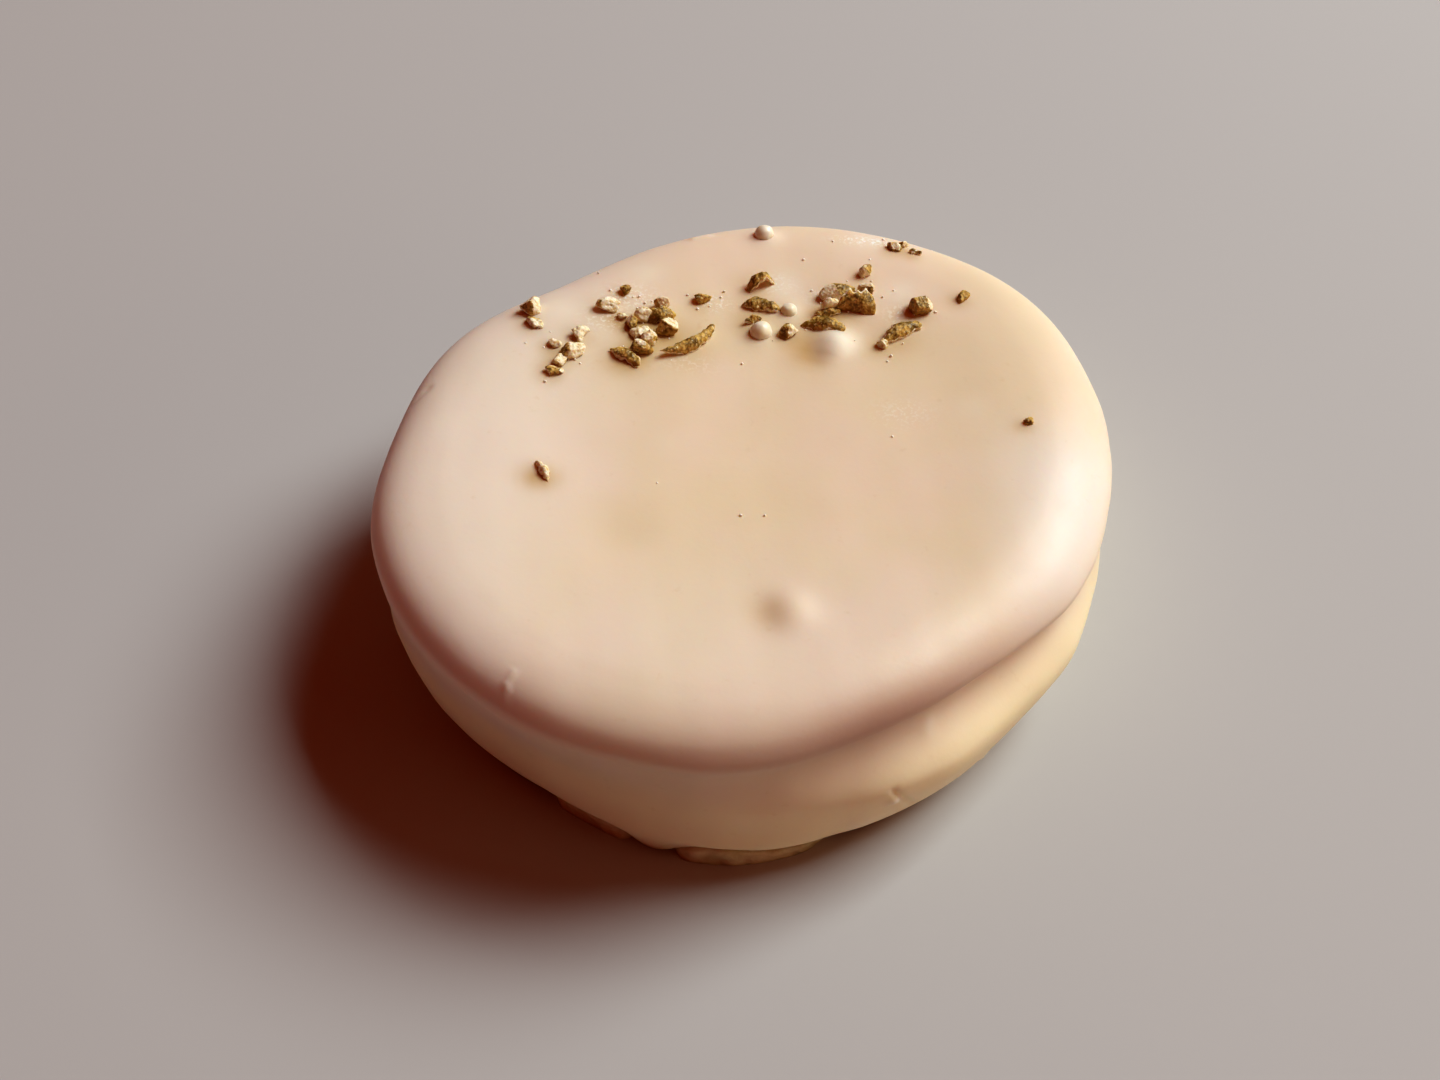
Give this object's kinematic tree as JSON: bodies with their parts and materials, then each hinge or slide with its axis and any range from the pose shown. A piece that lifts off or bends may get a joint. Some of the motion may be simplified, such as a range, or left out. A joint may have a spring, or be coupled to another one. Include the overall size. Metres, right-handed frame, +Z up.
{
  "type": "lemon cream alfajor",
  "caption": "Round filled biscuit in a smooth pale lemon glaze, with flakes of lemon zest and sugar on top; bare biscuit shows under the lower edge.",
  "frame": {"origin": "centre of the bounding box at the flat underside, where the biscuit rests on its surface", "axes": "+Z up through the top of the glaze; -Y towards the front, the side nearest the viewer of the picture, where the glaze stops short of the ground; +X to that viewer's right"},
  "size_m": [0.064, 0.0648, 0.0204],
  "materials": {
    "glaze": "satin",
    "biscuit": "matte"
  },
  "bodies": {
    "root": {"glaze": "glaze", "biscuit_base": "biscuit"}
  },
  "joints": []
}
